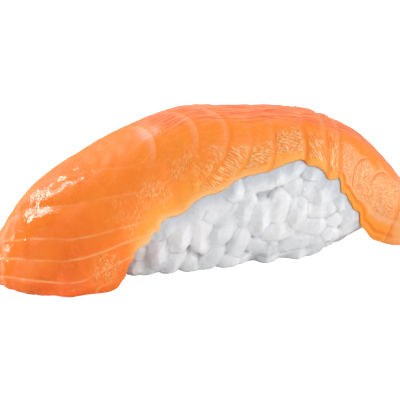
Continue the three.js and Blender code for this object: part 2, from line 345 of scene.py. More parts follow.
# What would reach below the table lies on it instead.
TABLE_SOFTNESS = 0.25 * MM
LYING_THICKNESS = 1.5 * MM
resting = np.where(is_top, np.minimum(thickness, LYING_THICKNESS) * (1 - roundness) + RIM_WALL, 0)
points[:, 2] = resting + TABLE_SOFTNESS * np.logaddexp(0, (points[:, 2] - resting) / TABLE_SOFTNESS)

salmon.data.vertices.foreach_set("co", points.ravel())
salmon.data.update()
bpy.ops.object.shade_smooth()

# Extruding leaves the faces between the skins in an order that changes from run to run, so they are sorted.
bpy.ops.object.mode_set(mode="EDIT")
bpy.ops.mesh.select_all(action="DESELECT")
bpy.ops.object.mode_set(mode="OBJECT")
at_top = is_top[np.array([face.vertices for face in salmon.data.polygons])]
salmon.data.polygons.foreach_set("select", at_top.any(1) & ~at_top.all(1))
bpy.ops.object.mode_set(mode="EDIT")
bpy.ops.mesh.sort_elements(type="CURSOR_DISTANCE", elements={"FACE"})
bpy.ops.object.mode_set(mode="OBJECT")

# What the flesh is coloured by is kept at the mesh's points. All from here on is in millimetres along and
# across the flat slice. First, how much fat each line holds, and how strong the pale band beside it is.
LENGTHWISE_FAT = {0: 0.3, 1: 0.5, 2: 1.0, 3: 1.0, 4: 1.0, 5: 0.8}
CROSSWISE_FAT = {-1: 0, 0: 0, 1: 0.1, 2: 0.1, 3: 0, 4: 0.1, 5: 0, 6: 0, 7: 0, 8: 0, 9: 0, 10: 1.0}
PLAIN_FAT = 0.35
CROSSWISE_FAT_FROM = (0.36, 0.5)  # shares of the length
CROSSWISE_BANDS = {0: 0.9, 1: 0.75, 2: 0.7, 3: 0.15, 4: 0.2, 5: 0.4, 6: 0.4, 7: 0.4, 10: 0.4}
BANDS_FROM, BANDS_LOW, BANDS_OVER = (0.32, 0.36), (-12.5, -7), (-2, 2)  # they fade out to each side
BANDS_LOST = 0.7  # of their strength, beyond the middle line
flat_along, flat_across = flat_mm.T
cross_level = crosswise_level(flat_along, flat_across)


def by_line(levels, table, otherwise):
    values = np.full(len(levels), float(otherwise))
    for line, value in table.items():
        values[np.round(levels) == line] = value
    return values


lengthwise_fat = by_line(level, LENGTHWISE_FAT, PLAIN_FAT)
crosswise_fat = by_line(level, CROSSWISE_FAT, PLAIN_FAT)
fat_strength = blend(lengthwise_fat, crosswise_fat, smooth_step(share, *CROSSWISE_FAT_FROM)) * is_top
bands = by_line(cross_level, CROSSWISE_BANDS, 0) * smooth_step(share, *BANDS_FROM)
bands *= smooth_step(flat_across, *BANDS_LOW)
bands *= 1 - BANDS_LOST * smooth_step(flat_across, *BANDS_OVER)

# The wrinkled skin: it lies below a line along the near shoulder, and in a few patches on the left flank,
# each given as along, across, radius and strength. It ends short of the rim and of every crossing line.
WRINKLED_TOP = [[0, -34], [42, -15], [46.9, -12.6], [49.7, -10.9], [52.8, -10.2], [55.3, -10.2],
                [58.4, -9.4], [60.1, -8.6], [62.5, -6.9], [65.9, -6.0], [71.6, -6.1], [75.4, -6.0],
                [78.2, -6.4], [81.9, -6.4], [86.4, -5.3], [105, -3]]
WRINKLED_PATCHES = [[36.5, -15.2, 2.8, 0.9], [34, -16.8, 3.0, 0.5], [38.4, -17, 2.4, 0.6],
                    [42, -13.2, 2.2, 0.8], [44.2, -11.9, 1.7, 0.7], [23.2, -24.2, 3.2, 0.75],
                    [25.8, -24.2, 2.2, 0.7], [40.3, -5.3, 1.1, 0.8], [29.2, -16, 3.2, 0.28],
                    [31, -19, 2.6, 0.35], [31, -21.5, 1.6, 0.5]]
SMOOTH_RIM = [[0, 1.1], [57, 1.1], [60.5, 2.0], [63.5, 1.7], [66, 1.2], [74, 1.4], [77, 2.0],
              [82, 2.1], [84, 2.7], [86.5, 3.5], [90, 3.6], [105, 1.5]]
RAGGEDNESS, RAGGED_LENGTH = 0.9, 4.5
WRINKLES_FROM, WRINKLED_EDGE = (42, 50), (-0.6, 1.6)
PATCH_RAGGEDNESS, PATCH_MIDDLE, PATCH_EDGE = 0.6, 0.4, 1.2  # the last two as shares of its radius
RIM_RAGGEDNESS, PAST_SMOOTH = 0.15, (0.7, 1.2)
LINE_EDGE, LINE_REACH, GROOVE_MARGIN = 0.15, 0.35, 0.35  # off a crossing line, with more off a groove
ragged_edge = RAGGEDNESS * waves(flat_mm, RAGGED_LENGTH, 51)
below_top = curve_through(WRINKLED_TOP)(flat_along) - flat_across + ragged_edge
wrinkled = smooth_step(below_top, *WRINKLED_EDGE) * smooth_step(flat_along, *WRINKLES_FROM)
for middle_along, middle_across, reach, strength in WRINKLED_PATCHES:
    off_middle = np.hypot(flat_along - middle_along, flat_across - middle_across)
    off_middle = off_middle + PATCH_RAGGEDNESS * ragged_edge
    in_patch = 1 - smooth_step(off_middle, PATCH_MIDDLE * reach, PATCH_EDGE * reach)
    wrinkled = np.maximum(wrinkled, strength * in_patch)
past_rim = from_rim / MM / curve_through(SMOOTH_RIM)(flat_along)
wrinkled *= smooth_step(past_rim + RIM_RAGGEDNESS * ragged_edge, *PAST_SMOOTH)
cross_climb = (crosswise_level(flat_along + PROBE, flat_across) - cross_level) / PROBE
off_cross = np.abs(cross_level - np.round(cross_level)) / np.maximum(cross_climb, LEAST_CLIMB)
wrinkled *= smooth_step(off_cross, LINE_EDGE, LINE_REACH + GROOVE_MARGIN * groove_strength * crossed)

# The streaky ridge along the top, and the stippled skin of the right limb.
RIDGE_EDGE, RIDGE_SOFTNESS, RIDGE_RISE, RIDGE_RISING = -7, 4, 1.4, (70, 80)
RIDGE_FROM = (33, 42)
LIMB_FROM, LIMB_EDGE = (72.5, 76), (-0.5, 1.5)
ridge_low = RIDGE_EDGE + RIDGE_RISE * smooth_step(flat_along, *RIDGE_RISING)
ridge = smooth_step(flat_across, ridge_low, ridge_low + RIDGE_SOFTNESS)
ridge *= smooth_step(flat_along, *RIDGE_FROM)
limb = smooth_step(flat_along, *LIMB_FROM) * smooth_step(below_top, *LIMB_EDGE)

# The wrinkles of each flake run their own way: degrees to its length, then their length and width.
WRINKLE_LIE = {0: (60, 0.8, 0.24), 1: (-52, 0.8, 0.21), 2: (-34, 1.5, 0.21), 3: (-14, 0.8, 0.22),
               4: (8, 0.5, 0.21), 5: (-56, 1.1, 0.21), 6: (84, 1.2, 0.26), 7: (40, 0.4, 0.24)}
PLAIN_LIE, LAST_FLAKE = (20, 0.34, 0.24), 12
LEFT_LIE, LIE_CHANGE = 27.4, (0.3, 0.8)  # left of this all wrinkles are plain
LIE_WAVER, LIE_WAVER_LENGTH = 0.25, 5
FLAKES_APART = 7.3  # in the pattern, so that no two flakes' wrinkles are alike
flake_index = np.clip(np.floor(cross_level), 0, LAST_FLAKE)
flake_index = np.where(flat_along < LEFT_LIE, LAST_FLAKE, flake_index).astype(int)
wrinkled *= smooth_step(np.abs(flat_along - LEFT_LIE), *LIE_CHANGE)
lies = np.array([WRINKLE_LIE.get(index, PLAIN_LIE) for index in range(LAST_FLAKE + 1)])
lie_degrees, lie_length, lie_width = lies[flake_index].T
lie_angle = np.radians(lie_degrees)
lie_across = flat_across + LIE_WAVER * waves(flat_mm, LIE_WAVER_LENGTH, 52)
wrinkle_place = np.stack([
    (flat_along * np.cos(lie_angle) + lie_across * np.sin(lie_angle)) / lie_length,
    (lie_across * np.cos(lie_angle) - flat_along * np.sin(lie_angle)) / lie_width,
    flake_index * FLAKES_APART,
], 1)

# Two short curved lines on the right limb, each as the middle of its circle, its radius, and its first and
# last degree.
LIMB_ARCS = [[83.5, -11.8, 5.6, 118, 208], [89.5, -12.0, 6.9, 112, 160]]
ARC_FADE = 8  # degrees to each side of its ends
arc_places, arc_strengths = [], []
for middle_along, middle_across, radius, first, last in LIMB_ARCS:
    outward_along, outward_across = flat_along - middle_along, flat_across - middle_across
    degrees = np.degrees(np.arctan2(outward_across, outward_along)) % 360
    within = smooth_step(degrees, first - ARC_FADE, first + ARC_FADE)
    within *= 1 - smooth_step(degrees, last - ARC_FADE, last + ARC_FADE)
    arc_places.append(np.hypot(outward_along, outward_across) - radius)
    arc_strengths.append(within)

# The swelling of the left limb is crinkled. Its edge is soft and ragged.
SWELLING_ACROSS, SWELLING_EDGE, SWELLING_END = -6, (2.2, 7), (23, 33)
SWELLING_RAGGEDNESS = (1.2, 1.5)
off_swelling = np.abs(flat_across - SWELLING_ACROSS) + SWELLING_RAGGEDNESS[0] * ragged_edge
swelling_end = smooth_step(flat_along + SWELLING_RAGGEDNESS[1] * ragged_edge, *SWELLING_END)
on_swelling = (1 - smooth_step(off_swelling, *SWELLING_EDGE)) * (1 - swelling_end)

# One soft painted highlight on the ridge, a pale pink cloud, given by its middle and its half length and
# half width.
CLOUD_PLACE, CLOUD_REACH = (38.4, -3.6), (1.9, 3.4)
CLOUD_RAGGEDNESS, CLOUD_EDGE = 0.25, (0.2, 1.3)
cloud_along, cloud_across = ((flat_mm - CLOUD_PLACE) / CLOUD_REACH).T
off_cloud = np.hypot(cloud_along, cloud_across)
pale_highlight_cloud = 1 - smooth_step(off_cloud + CLOUD_RAGGEDNESS * ragged_edge, *CLOUD_EDGE)

# The streaks along the ridge sink to the right on the left half.
STREAK_SINK = [[0, 12], [30, 6], [40, 2.6], [48, 0.6], [56, 0], [105, 0]]
STREAK_WAVER, STREAK_WAVER_LENGTH = 0.3, 9
streak_waver = STREAK_WAVER * waves(flat_mm, STREAK_WAVER_LENGTH, 53)
streak_across = flat_across + curve_through(STREAK_SINK)(flat_along) + streak_waver

for name, values in {
    "slice_place": [*flat_mm.T, from_rim / MM],
    "flake_place": [level, line_gap, fat_strength],
    "wrinkle_place": wrinkle_place.T,
    "skin_kind": [wrinkled, ridge, limb],
    "line_kind": [groove_strength * on_shoulder, bands, limb_rim],
    "rim_place": [past_rim, on_swelling, pale_highlight_cloud],
    "curved_place": [*arc_places, streak_across],
    "curved_kind": [*arc_strengths, cross_level],
}.items():
    layer = salmon.data.attributes.new(name, "FLOAT_VECTOR", "POINT")
    layer.data.foreach_set("vector", np.stack(list(values), 1).ravel())


def new_material(name):
    """An empty material, and a function that adds a node to it. A socket given as an input is joined."""
    material = bpy.data.materials.new(name)
    material.use_nodes = True
    nodes, links = material.node_tree.nodes, material.node_tree.links
    nodes.clear()

    def node(kind, inputs=None, **settings):
        made = nodes.new(kind)
        for key, value in settings.items():
            setattr(made, key, value)
        for key, value in (inputs or {}).items():
            if isinstance(value, bpy.types.NodeSocket):
                links.new(value, made.inputs[key])
            else:
                made.inputs[key].default_value = value
        return made

    return material, node


def srgb(red, green, blue):
    """A colour given as a screen shows it, from 0 to 255, as the shader wants it."""
    shown = np.array([red, green, blue]) / 255
    linear = np.where(shown <= 0.04045, shown / 12.92, ((shown + 0.055) / 1.055) ** 2.4)
    return (*linear, 1)


flesh, node = new_material("salmon_flesh")


def maths(operation, *values):
    return node("ShaderNodeMath", dict(enumerate(values)), operation=operation).outputs[0]


def ramp(value, low, high, low_out=0.0, high_out=1.0):
    """A smooth change from low_out, where the value is low, to high_out, where it is high."""
    inputs = {"Value": value, "From Min": low, "From Max": high, "To Min": low_out, "To Max": high_out}
    made = node("ShaderNodeMapRange", inputs, interpolation_type="SMOOTHSTEP")
    return made.outputs["Result"]


def tint(share, first, second):
    """The first colour where the share is 0, and the second one where it is 1."""
    made = node("ShaderNodeMix", {"Factor": share}, data_type="RGBA")
    for key, value in ((6, first), (7, second)):
        if isinstance(value, bpy.types.NodeSocket):
            made.id_data.links.new(value, made.inputs[key])
        else:
            made.inputs[key].default_value = value
    return made.outputs[2]


def noise(vector, scale, detail=2.0, roughness=0.5):
    inputs = {"Vector": vector, "Scale": scale, "Detail": detail, "Roughness": roughness}
    return node("ShaderNodeTexNoise", inputs).outputs["Fac"]


def point_values(name):
    """The three values kept at each point under that name."""
    stored = node("ShaderNodeAttribute", attribute_name=name).outputs["Vector"]
    return node("ShaderNodeSeparateXYZ", {0: stored}).outputs


def product(*values):
    result = values[0]
    for value in values[1:]:
        result = maths("MULTIPLY", result, value)
    return result


def largest(*values):
    result = values[0]
    for value in values[1:]:
        result = maths("MAXIMUM", result, value)
    return result


along_x, across_x, from_rim_x = point_values("slice_place")
level_x, gap_x, fat_x = point_values("flake_place")
wrinkled_x, ridge_x, limb_x = point_values("skin_kind")
grooved_x, banded_x, limb_rim_x = point_values("line_kind")
first_arc, second_arc, streak_across_x = point_values("curved_place")
first_strength, second_strength, cross_level_x = point_values("curved_kind")
past_rim_x, swelling_x, highlight_cloud_x = point_values("rim_place")
body = node("ShaderNodeTexCoord").outputs["Object"]

# How fine each unevenness is, as the scale of its noise.
CLOUDS, BLOTCHES, PATCHES, LINE_NICKS, GRIT, FLECKS = 70, 120, 220, 900, 1500, 1700
SKIN_CHANGE = (45.0, 54.0)  # where the left flank's soft wrinkles give way to the sharper ones

# Distance to the nearest fat line in millimetres, along a slightly ragged line, and distance from the
# nearest crossing line, under 0 on its left. Beside such a line the flesh is paler on the left, and more
# orange on the right.
LINE_RAGGEDNESS = 0.03
FAT_REACH = 0.3
ragged = product(maths("SUBTRACT", noise(body, LINE_NICKS, 2), 0.5), LINE_RAGGEDNESS)
ragged_level = maths("ADD", level_x, ragged)
off_line = product(maths("PINGPONG", ragged_level, 0.5), gap_x)
from_crossing = maths("SUBTRACT", maths("FRACT", maths("ADD", cross_level_x, 0.5)), 0.5)
beside_line = product(from_crossing, gap_x)
patchy = ramp(noise(body, PATCHES, 2), 0.35, 0.62, 0.3, 1.0)
fat = product(ramp(off_line, 0.0, FAT_REACH, 1.0, 0.0), patchy, fat_x)
pale_side = product(ramp(beside_line, -1.7, -0.1), ramp(beside_line, 0.0, 0.25, 1.0, 0.0), banded_x)
orange_side = product(ramp(beside_line, 0.1, 0.35), ramp(beside_line, 1.5, 0.5), banded_x)

# Thin crests: each flake's own wrinkles, sparkling crinkles down the swelling of the left limb, and streaks
# along the ridge.
CRINKLES_IN_MM, STREAKS_IN_MM = (2.2, 3.2), (0.17, 2.8)  # how many lie along and across


def pattern_place(along_value, across_value, in_mm):
    stretched = {0: product(along_value, in_mm[0]), 1: product(across_value, in_mm[1])}
    return node("ShaderNodeCombineXYZ", stretched).outputs[0]


wrinkle_vector = node("ShaderNodeAttribute", attribute_name="wrinkle_place").outputs["Vector"]
wrinkles = noise(wrinkle_vector, 1.0, 1.0, 0.5)
crests = product(ramp(wrinkles, ramp(along_x, *SKIN_CHANGE, 0.5, 0.46), 0.6), wrinkled_x)
shaded_troughs = product(ramp(wrinkles, 0.48, 0.36), wrinkled_x)
crinkle_place = pattern_place(along_x, across_x, CRINKLES_IN_MM)
crinkles = product(noise(crinkle_place, 1.0, 1.0, 0.5), ramp(swelling_x, 0.0, 0.4))
crinkles = product(crinkles, ramp(along_x, 17.5, 21.0, 1.0, 0.4))
drops = ramp(noise(crinkle_place, 1.25, 2.0, 0.6), 0.47, 0.53)  # further right only scattered spots are wet
shiny = product(swelling_x, largest(drops, ramp(along_x, 16.5, 20.0, 1.0, 0.0)))
streaks = noise(pattern_place(along_x, streak_across_x, STREAKS_IN_MM), 1.0, 3.0, 0.6)

# The flesh's colours: the body, what is thin or low, the rim and the lines, the ridge, and the skin, with
# painted shade, highlights, glints and sheen among them.
deep = srgb(250, 115, 14)
bright = srgb(253, 141, 20)
thin_orange = srgb(254, 166, 44)
low_shade_red = srgb(236, 92, 10)
rim_highlight_pale = srgb(255, 190, 122)
groove_orange = srgb(254, 132, 10)
limb_rim_orange = srgb(255, 152, 14)
fat_pale = srgb(254, 182, 122)
ridge_pink = srgb(253, 150, 98)
ridge_red = srgb(232, 78, 12)
far_sheen_pink = srgb(246, 144, 112)
band_pink = srgb(254, 168, 124)
highlight_cloud_pink = srgb(254, 184, 156)
wrinkle_peach_and_glint = srgb(255, 196, 134)
left_peach_and_glint = srgb(255, 196, 120)
trough_orange = srgb(251, 117, 17)
limb_peach_and_sheen = srgb(252, 184, 122)
fleck_orange = srgb(255, 164, 70)

# How strongly each tint covers what lies under it.
LOW_SHADE, THIN_BRIGHTNESS, LIMB_PALENESS_AND_SHEEN = 0.6, 0.9, 0.7
CREST_AND_GLINT_STRENGTH, TROUGH_SHADE_STRENGTH, LIMB_RIM_STRENGTH = 0.95, 0.8, 0.95
RIDGE_STRENGTH, SIDE_STRENGTH, GROOVE_STRENGTH, FAT_STRENGTH = 0.8, 0.8, 0.85, 0.68
BLOTCHINESS = 0.2


def line_at(distance, place, *fade):
    """A thin line where the distance is near the place."""
    return ramp(maths("ABSOLUTE", maths("SUBTRACT", distance, place)), *fade)


# The body: clouded orange, brighter to the right, darker and redder low on the left as painted shade, and
# thin over the rice.
over_rice = product(ramp(along_x, 27.0, 34.0), ramp(along_x, 72.0, 76.0, 1.0, 0.0))
over_rice = product(over_rice, ramp(across_x, 1.0, -3.0))
colour = tint(ramp(noise(body, CLOUDS, 3), 0.35, 0.65, 0.0, 0.45), deep, bright)
colour = tint(ramp(along_x, 16.0, 52.0, 0.0, 0.75), colour, bright)
# Painted shade: darker and redder low on the left flank.
painted_shade_low_left = product(ramp(across_x, -14.5, -18.5), ramp(along_x, 24.0, 15.0), LOW_SHADE)
colour = tint(painted_shade_low_left, colour, low_shade_red)
thin = product(ramp(from_rim_x, 0.2, 7.0, 1.0, 0.0), over_rice, THIN_BRIGHTNESS)
colour = tint(thin, colour, thin_orange)
flecks = product(ramp(noise(body, FLECKS, 2), 0.5, 0.66), ramp(along_x, 20.0, 40.0, 0.15, 0.32))
colour = tint(flecks, colour, fleck_orange)

# The wrinkled skin, its crests partly painted glints and its troughs partly painted shade, the right limb,
# partly a painted sheen, and a painted highlight along the rim.
# The right limb's peach is partly its own colour, partly a painted sheen.
colour = tint(product(limb_x, LIMB_PALENESS_AND_SHEEN), colour, limb_peach_and_sheen)
# Pale crests: partly the skin's own pale strokes, partly painted glints.
crest_peach_and_glint = tint(ramp(along_x, *SKIN_CHANGE), left_peach_and_glint, wrinkle_peach_and_glint)
colour = tint(product(crests, CREST_AND_GLINT_STRENGTH), colour, crest_peach_and_glint)
# The troughs' deeper orange is partly painted shade.
colour = tint(product(shaded_troughs, TROUGH_SHADE_STRENGTH), colour, trough_orange)
limb_edge = product(limb_rim_x, ramp(past_rim_x, 0.75, 1.0, 1.0, 0.0), LIMB_RIM_STRENGTH)
colour = tint(limb_edge, colour, limb_rim_orange)
# A painted highlight along the rim where the slice lies over the rice.
rim = product(ramp(from_rim_x, 0.3, 1.7, 1.0, 0.0), over_rice, ramp(along_x, 62.0, 50.0, 0.25, 0.95))
colour = tint(rim, colour, rim_highlight_pale)

# The ridge: red and pink streaks, pinker on the far side as a painted sheen, with a painted highlight as a
# pale pink cloud.
blotches = product(ramp(noise(body, BLOTCHES, 2), 0.4, 0.6), BLOTCHINESS)
streak_share = maths("ADD", ramp(streaks, 0.42, 0.58), blotches)
faint_streaks = product(ramp(streaks, 0.44, 0.62, 0.0, 0.22), ramp(along_x, 30.0, 42.0))
colour = tint(faint_streaks, colour, ridge_pink)
colour = tint(product(ridge_x, RIDGE_STRENGTH), colour, tint(streak_share, ridge_red, ridge_pink))
# Painted sheen: pinker towards the far side, where the ridge turns away.
painted_far_sheen = product(ramp(across_x, -1.5, 2.5, 0.0, 0.5), ridge_x, streak_share)
colour = tint(painted_far_sheen, colour, far_sheen_pink)
colour = tint(product(pale_side, ramp(streaks, 0.35, 0.6, 0.35, 0.85)), colour, band_pink)
# A painted highlight: a soft pale pink cloud on the ridge.
colour = tint(product(highlight_cloud_x, ramp(streaks, 0.35, 0.6, 0.5, 0.9)), colour, highlight_cloud_pink)

# The lines: grooves are a stronger orange, and fat is pale.
in_groove = product(ramp(off_line, 0.2, 0.6, 1.0, 0.0), ramp(grooved_x, 0.1, 0.8))
limb_groove = product(limb_rim_x, line_at(from_rim_x, 1.35, 0.15, 0.5, 1.0, 0.0))
saturated = largest(in_groove, product(orange_side, SIDE_STRENGTH), limb_groove)
colour = tint(product(saturated, GROOVE_STRENGTH), colour, groove_orange)
colour = tint(product(fat, FAT_STRENGTH), colour, fat_pale)
for arc, strength in ((first_arc, first_strength), (second_arc, second_strength)):
    dark_arc = product(line_at(arc, -0.2, 0.06, 0.3, 0.8, 0.0), strength)
    pale_arc = product(line_at(arc, 0.15, 0.04, 0.24, 0.8, 0.0), strength)
    colour = tint(dark_arc, colour, trough_orange)
    colour = tint(pale_arc, colour, fat_pale)
limb_line = product(limb_rim_x, line_at(past_rim_x, 1.05, 0.03, 0.15, 0.6, 0.0))
colour = tint(limb_line, colour, fat_pale)

# How high each kind of relief stands, as shares of RELIEF_HEIGHT.
RELIEF_HEIGHT = 0.15 * MM
SOFT_CRESTS, SHARP_CRESTS, GRIT_HEIGHT, CRINKLE_HEIGHT, STREAK_HEIGHT = 0.25, 0.45, 0.1, 0.36, 0.5
crest_height = product(crests, ramp(along_x, *SKIN_CHANGE, SOFT_CRESTS, SHARP_CRESTS))
height = maths("ADD", crest_height, product(noise(body, GRIT, 1, 0.4), GRIT_HEIGHT))
height = maths("ADD", height, product(crinkles, CRINKLE_HEIGHT))
height = maths("ADD", height, product(streaks, ridge_x, STREAK_HEIGHT))
bump = node("ShaderNodeBump", {"Height": height, "Strength": 1.0, "Distance": RELIEF_HEIGHT})

DULL_LEFT, DULL_RIGHT, WET = 0.55, 0.42, 0.05  # how rough the surface is
dull = ramp(along_x, 26.0, 42.0, DULL_LEFT, DULL_RIGHT)
wet = node("ShaderNodeBsdfPrincipled", {
    "Base Color": colour,
    "Roughness": ramp(largest(crests, shiny), 0.15, 0.8, dull, WET),
    "IOR": 1.45,
    "Subsurface Weight": 0.25,
    "Subsurface Radius": (1.0, 0.35, 0.12),
    "Subsurface Scale": 1.2 * MM,
    "Normal": bump.outputs[0],
})
node("ShaderNodeOutputMaterial", {"Surface": wet.outputs[0]})
salmon.data.materials.append(flesh)
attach(salmon, "root")
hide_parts("salmon_slice")

# ---- The block of rice --------------------------------------------------------------
# Cooked short-grain rice, pressed by hand into a block: single grains, swollen, sticky and run together
# where they touch. They are packed against the block's outline round a smaller core, and fused as their
# starch fuses them.

GRAIN_RADIUS, GRAIN_REACH = 1.95, 1.4  # millimetres: half its width, and its end balls' way off its middle
GRAIN_THICKNESS = 0.94  # share of its width
GRAIN_COUNT = 255
GRAIN_SHAPES = 8
SWELLING = 1.15  # by which cooked grains are larger than the room they take up side by side
CORE_DEPTH = 1.8 * MM
FUSING = 0.275 * MM  # the cells in which the grains run together
RIGHT_FOOT = Vector((-2.4, 2.0, 0.7)) * MM  # the way in which the fingers have rounded it off
RIGHT_FOOT_X, RIGHT_FOOT_Z = (12 * MM, 24 * MM), (0.8 * MM, 4.5 * MM)  # it starts and fades over these
FOOT_DENTS = [[-30, 0], [1.1, 0.4], [3.8, 2.6], [5.4, 2.6], [6.6, 0.8], [7.2, 0.5], [8, 1.4],
              [9.2, 2.8], [11.3, 1.8], [15, 1], [20, 0], [30, 0]]  # of the near foot, as [x, depth]
DENTS_Z = (0.5 * MM, 5 * MM)
draw = np.random.default_rng(7)

# The core: the CAD block's own outline, drawn in.
bpy.ops.object.select_all(action="DESELECT")
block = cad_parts["rice_block"]
core = bpy.data.objects.new("rice_core", block.data.copy())
bpy.context.scene.collection.objects.link(core)
bpy.context.view_layer.objects.active = core
core.select_set(True)
bpy.ops.object.mode_set(mode="EDIT")
bpy.ops.mesh.select_all(action="SELECT")
bpy.ops.mesh.remove_doubles(threshold=0.01 * MM)
bpy.ops.object.mode_set(mode="OBJECT")
outline = core.data.copy()
foot_dent = curve_through(FOOT_DENTS, MM)
for vertex in outline.vertices:
    low_right = smooth_step(vertex.co.x, *RIGHT_FOOT_X) * (1 - smooth_step(vertex.co.z, *RIGHT_FOOT_Z))
    vertex.co += RIGHT_FOOT * low_right
    if vertex.co.y < 0:
        vertex.co.y += foot_dent(vertex.co.x / MM) * (1 - smooth_step(vertex.co.z, *DENTS_Z))
outline_corners = [p.vertices for p in outline.polygons]
outline_faces = BVHTree.FromPolygons([v.co for v in outline.vertices], outline_corners)
drawn_in = core.modifiers.new("drawn in", "DISPLACE")
drawn_in.strength = -CORE_DEPTH
drawn_in.mid_level = 0
bpy.ops.object.modifier_apply(modifier=drawn_in.name)

# Where the slice covers the block, the grains reach a little into it, and are pressed flat afterwards.
slice_faces = BVHTree.FromObject(salmon, bpy.context.evaluated_depsgraph_get())
COVER_REACH = 1.6 * MM
LEAST_DEPTH, COVERED_DEPTH, GREATEST_DEPTH = 1.75, 1.6, 3.6  # millimetres from outline to ball's middle
covered = [slice_faces.find_nearest(p.center)[3] < COVER_REACH for p in outline.polygons]

# Packing, in millimetres. A grain is a row of three balls. Balls of two grains push each other apart, the
# outline pushes them in, and those that sink too deep rise again.
PACKING_STEPS, PACKING_PUSH = 70, 0.22
START_DEPTHS = (1.8, 3.4)
LIE_LENGTH, LIE_SCATTER = 30, 0.7  # grains that lie near each other point much the same way
UPRIGHT_BELOW, UPRIGHTNESS = 4.5, 2.0  # the lowest ones stand
FLATNESS = 0.85  # how closely they lie along the outline
corners = np.array([[outline.vertices[i].co for i in p.vertices] for p in outline.polygons]) / MM
areas = np.array([p.area for p in outline.polygons])
start_faces = draw.choice(len(areas), GRAIN_COUNT, p=areas / areas.sum())
weights = draw.dirichlet((1, 1, 1), GRAIN_COUNT)
outward = np.array([outline.polygons[i].normal for i in start_faces])
start_places = (corners[start_faces] * weights[:, :, None]).sum(1)
middles = start_places - outward * draw.uniform(*START_DEPTHS, (GRAIN_COUNT, 1))
lie = np.stack([waves(middles, LIE_LENGTH, seed) for seed in (41, 42, 43)], 1)
lie = lie + draw.normal(0, LIE_SCATTER, (GRAIN_COUNT, 3))
lie[:, 2] += np.where(middles[:, 2] < UPRIGHT_BELOW, UPRIGHTNESS, 0.0) * np.sign(lie[:, 2])
lie -= outward * (lie * outward).sum(1, keepdims=True) * FLATNESS
lie /= np.linalg.norm(lie, axis=1, keepdims=True)
own = np.repeat(np.arange(GRAIN_COUNT), 3)
strangers = own[:, None] != own


def three_balls():
    return (middles[:, None] + lie[:, None] * GRAIN_REACH * np.array([-1, 0, 1])[:, None]).reshape(-1, 3)


for _ in range(PACKING_STEPS):
    balls = three_balls()
    gaps = balls[:, None] - balls
    apart = np.linalg.norm(gaps, axis=2) + 1e-9
    overlap = np.where(strangers, np.clip(2 * GRAIN_RADIUS - apart, 0, None), 0)
    push = PACKING_PUSH * (gaps * (overlap / apart)[:, :, None]).sum(1)
    for i, ball in enumerate(balls):
        near, out, face, _ = outline_faces.find_nearest(Vector(ball) * MM)
        depth = (near / MM - Vector(ball)).dot(out)
        least = COVERED_DEPTH if covered[face] else LEAST_DEPTH
        push[i] += np.array(out) * (depth - min(max(depth, least), GREATEST_DEPTH))
    push = push.reshape(-1, 3, 3)
    middles += push.mean(1)
    lie += (push[:, 2] - push[:, 0]) / (4 * GRAIN_REACH)
    lie /= np.linalg.norm(lie, axis=1, keepdims=True)

# A few more fill the widest gaps, each given by its middle and the way in which it points.
LATE_GRAINS = np.array([
    [7.1, -4.8, 2.4, 0.1, -0.35, 0.93],
    [20.2, -2.9, 9.8, 0.5, -0.2, 0.84],
    [-0.7, -5.9, 10.6, 0.8, 0, 0.6],
    [-13, -7.2, 9.8, 0.2, 0.1, 0.95],
])
middles, lie = np.vstack([middles, LATE_GRAINS[:, :3]]), np.vstack([lie, LATE_GRAINS[:, 3:]])

# Grains of a few shapes: plump, blunt, slightly bent and uneven.
DENT, DENT_LENGTH = 0.09, 1.9
BEND_LIMIT, TAPER_LIMIT, PLUMPNESS = 0.1, 0.14, 0.16
SIZE_SPREAD = (0.94, 1.06)
shapes = []
for n in range(GRAIN_SHAPES):
    bpy.ops.object.select_all(action="DESELECT")
    bpy.ops.mesh.primitive_uv_sphere_add(segments=12, ring_count=8, radius=1, rotation=(0, math.pi / 2, 0))
    bpy.ops.object.transform_apply(rotation=True)
    grain = bpy.context.object
    dents = waves(np.array([v.co for v in grain.data.vertices]), DENT_LENGTH, 60 + n)
    bend, taper = draw.uniform(-BEND_LIMIT, BEND_LIMIT), draw.uniform(-TAPER_LIMIT, TAPER_LIMIT)
    for vertex, dent in zip(grain.data.vertices, dents):
        x, y, z = vertex.co * (1 + DENT * dent)
        plump = (1 + taper * x) * (1 + PLUMPNESS * (x * x) * (1 - x * x) * 4)
        lengthwise = (GRAIN_REACH + GRAIN_RADIUS) * x
        sideways = GRAIN_RADIUS * (y * plump + bend * x * x)
        vertex.co = Vector((lengthwise, sideways, GRAIN_THICKNESS * GRAIN_RADIUS * z * plump))
    shapes.append(grain)

copies = []
for middle, way in zip(middles, lie):
    shape = shapes[draw.integers(GRAIN_SHAPES)]
    copy = shape.copy()
    copy.data = shape.data.copy()
    bpy.context.scene.collection.objects.link(copy)
    side = Vector(way).cross(Vector(draw.normal(size=3))).normalized()
    turn = Matrix((way, side, Vector(way).cross(side))).transposed().to_4x4()
    size = SWELLING * draw.uniform(*SIZE_SPREAD) * MM
    copy.data.transform(Matrix.Translation(Vector(middle) * MM) @ turn @ Matrix.Scale(size, 4))
    copies.append(copy)
for shape in shapes:
    bpy.data.objects.remove(shape)

bpy.ops.object.select_all(action="DESELECT")
for copy in copies:
    copy.select_set(True)
core.select_set(True)
bpy.context.view_layer.objects.active = core
bpy.ops.object.join()
rice = core
rice.name = rice.data.name = "rice_grains"
fused = rice.modifiers.new("fused", "REMESH")
fused.mode = "VOXEL"
fused.voxel_size = FUSING
fused.use_smooth_shade = True
bpy.ops.object.modifier_apply(modifier=fused.name)
softened = rice.modifiers.new("softened", "SMOOTH")
softened.factor = 0.5
softened.iterations = 1
bpy.ops.object.modifier_apply(modifier=softened.name)

